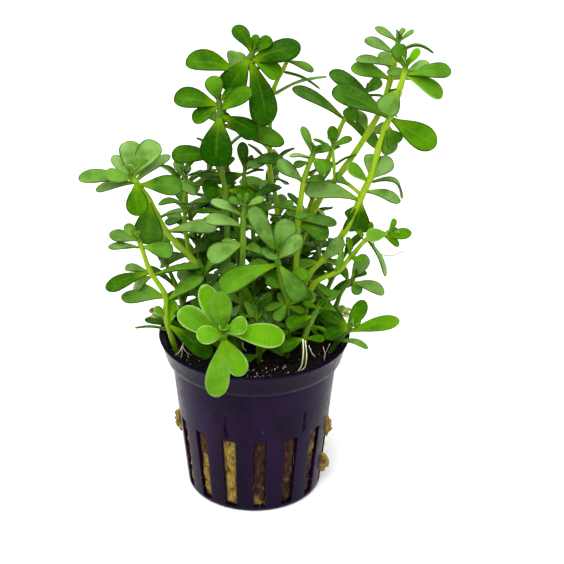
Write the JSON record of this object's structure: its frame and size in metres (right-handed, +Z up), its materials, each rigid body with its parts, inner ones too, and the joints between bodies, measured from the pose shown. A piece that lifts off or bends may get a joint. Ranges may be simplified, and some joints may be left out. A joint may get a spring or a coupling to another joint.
{
  "type": "potted water hyssop",
  "caption": "Leafy upright water hyssop shoots with succulent spoon-shaped leaves, planted in a tapered dark violet net pot filled with rock wool and topped with soil.",
  "frame": {"origin": "middle of the pot's flat underside", "axes": "+Z up along the pot's axis, -Y to the pictured front, +X to the right of it"},
  "size_m": [0.1024, 0.0665, 0.1408],
  "materials": {
    "pot_plastic": "satin",
    "rock_wool": "matte",
    "soil": "matte",
    "plant": "satin"
  },
  "bodies": {
    "root": {"net_pot": "pot_plastic", "rock_wool": "rock_wool", "soil": "soil", "rosette_shoot": "plant", "right_front_shoot": "plant", "rim_shoot": "plant", "middle_right_shoot": "plant", "middle_shoot": "plant", "low_left_shoot": "plant", "left_shoot": "plant", "left_back_shoot": "plant", "second_tall_left_shoot": "plant", "small_middle_shoot": "plant", "tall_left_shoot": "plant", "inner_right_shoot": "plant", "right_tall_shoot": "plant", "low_right_shoot": "plant", "lowest_right_shoot": "plant", "back_stem_shoot": "plant", "slender_shoot": "plant", "back_tall_shoot": "plant", "bush_shoot_1": "plant", "bush_shoot_2": "plant", "bush_shoot_3": "plant", "bush_shoot_4": "plant", "bush_shoot_5": "plant", "bush_shoot_6": "plant", "bush_shoot_7": "plant", "bush_shoot_8": "plant"}
  },
  "joints": []
}
